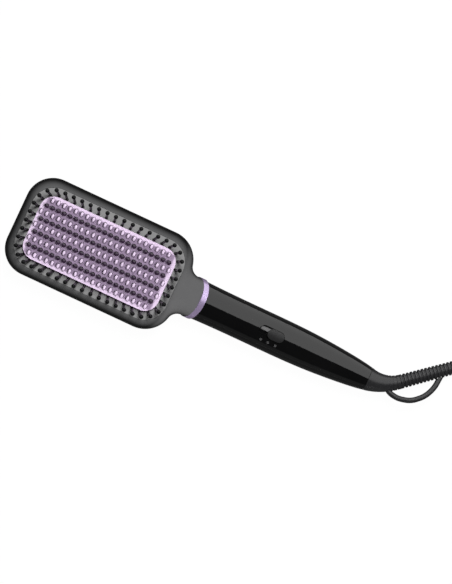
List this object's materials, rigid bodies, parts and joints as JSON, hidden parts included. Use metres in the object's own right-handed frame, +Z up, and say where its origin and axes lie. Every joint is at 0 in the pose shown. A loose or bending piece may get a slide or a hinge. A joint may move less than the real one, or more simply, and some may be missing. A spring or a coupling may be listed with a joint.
{
  "type": "heated straightening brush",
  "caption": "Paddle-shaped heated hair brush with a toothed hot plate, ball-tipped bristles, a slide switch and a swivelling cord with a two-pin plug.",
  "frame": {"origin": "on the flat back of the head, under the middle of the heater plate", "axes": "+X along the handle towards the cord, +Z up out of the bristles, brush lying on its back"},
  "size_m": [0.5529, 0.1129, 0.0355],
  "materials": {
    "housing": "fine moulded texture",
    "bed": "satin",
    "bristle": "satin",
    "coating": "pearl",
    "inner_pin": "satin",
    "trim": "metallic gloss",
    "handle": "polished",
    "knob": "satin",
    "light": "frosted",
    "rubber": "satin",
    "steel": "plain",
    "copper_alloy": "plain",
    "heater": "plain",
    "mica": "matte",
    "board": "solder mask",
    "device": "matte",
    "film": "gloss",
    "wire": "satin",
    "bush": "satin",
    "tie": "matte",
    "plating": "nickel plate"
  },
  "bodies": {
    "handle": {"head_front_frame": "housing", "head_rear_cover": "housing", "head_screws": "steel", "bristle_bed": "bed", "upper_bristle_strip": "bristle", "lower_bristle_strip": "bristle", "neck_bristle_strip": "bristle", "tip_bristle_strip": "bristle", "heater_plate": "coating", "inner_bristle_rails": "inner_pin", "heater_bars": "heater", "mica_sheet": "mica", "heater_clamp": "steel", "plate_screws": "steel", "thermal_fuse": "film", "temperature_sensor": "device", "heater_wires": "wire", "collar_ring": "trim", "joining_sleeve": "housing", "handle_front_shell": "handle", "handle_rear_shell": "handle", "handle_screws": "steel", "light_pipes": "light", "indicator_leds": "light", "circuit_board": "board", "slide_switch_body": "device", "controller_chip": "device", "capacitor": "film", "triac": "device", "swivel_bush": "bush", "contact_springs": "copper_alloy", "power_cord": "rubber", "cord_coil": "rubber", "cord_tail": "rubber", "cord_tie": "tie", "plug_body": "rubber", "plug_pins": "plating"},
    "switch": {"switch_knob": "knob", "switch_slider": "device"},
    "swivel": {"swivel_boot": "rubber", "ribbed_sleeve": "rubber", "hanging_loop": "rubber", "slip_rings": "copper_alloy"}
  },
  "joints": [
    {"name": "switch_slide", "type": "slide", "parent": "handle", "child": "switch", "axis": [-1, 0, 0], "range_m": [0, 0.0068]},
    {"name": "cord_swivel", "type": "hinge", "parent": "handle", "child": "swivel", "pos_m": [0.2205, 0, 0.012], "axis": [1, 0, 0], "continuous": true}
  ]
}
